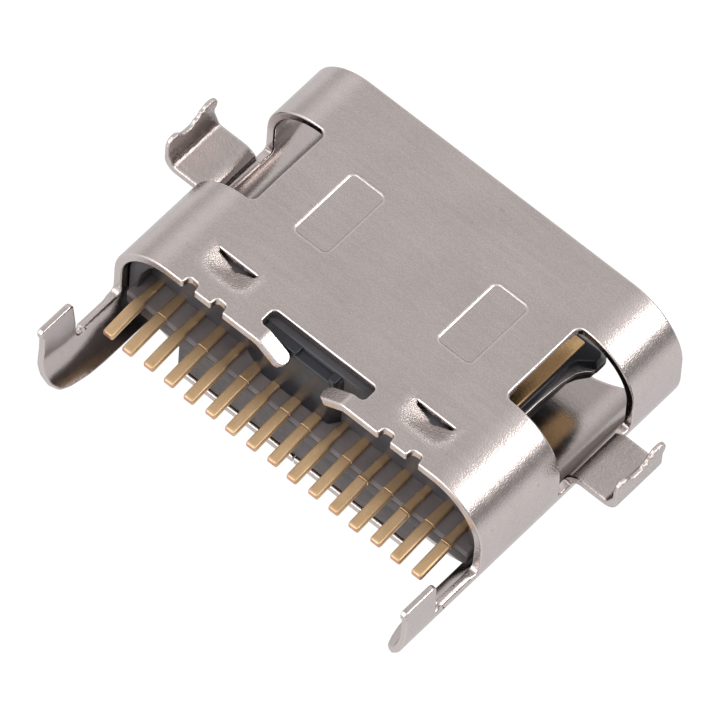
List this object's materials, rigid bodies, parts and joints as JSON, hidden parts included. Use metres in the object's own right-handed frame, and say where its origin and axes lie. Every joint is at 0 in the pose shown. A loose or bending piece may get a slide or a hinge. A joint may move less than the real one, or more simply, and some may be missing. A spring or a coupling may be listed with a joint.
{
  "type": "usb-c socket",
  "caption": "USB-C receptacle with a folded steel shell, side tabs and rear legs for a cut-out in a board, a thin tongue and a row of gold tails.",
  "frame": {"origin": "middle of the overall length and width, at the level of the shell's flat lower face", "axes": "+X along the row of contacts, +Y out of the mouth, +Z towards the side that takes the board"},
  "size_m": [0.011, 0.0076, 0.0031],
  "materials": {
    "shell_steel": "satin",
    "plate_steel": "satin",
    "black_plastic": "satin",
    "gold_contact": "satin"
  },
  "bodies": {
    "root": {"shell": "shell_steel", "housing": "black_plastic", "insert_upper": "black_plastic", "insert_lower": "black_plastic", "mid_plate": "plate_steel", "contact_a1": "gold_contact", "contact_a4": "gold_contact", "contact_a5": "gold_contact", "contact_a6": "gold_contact", "contact_a7": "gold_contact", "contact_a8": "gold_contact", "contact_a9": "gold_contact", "contact_a12": "gold_contact", "contact_b1": "gold_contact", "contact_b4": "gold_contact", "contact_b5": "gold_contact", "contact_b6": "gold_contact", "contact_b7": "gold_contact", "contact_b8": "gold_contact", "contact_b9": "gold_contact", "contact_b12": "gold_contact"}
  },
  "joints": []
}
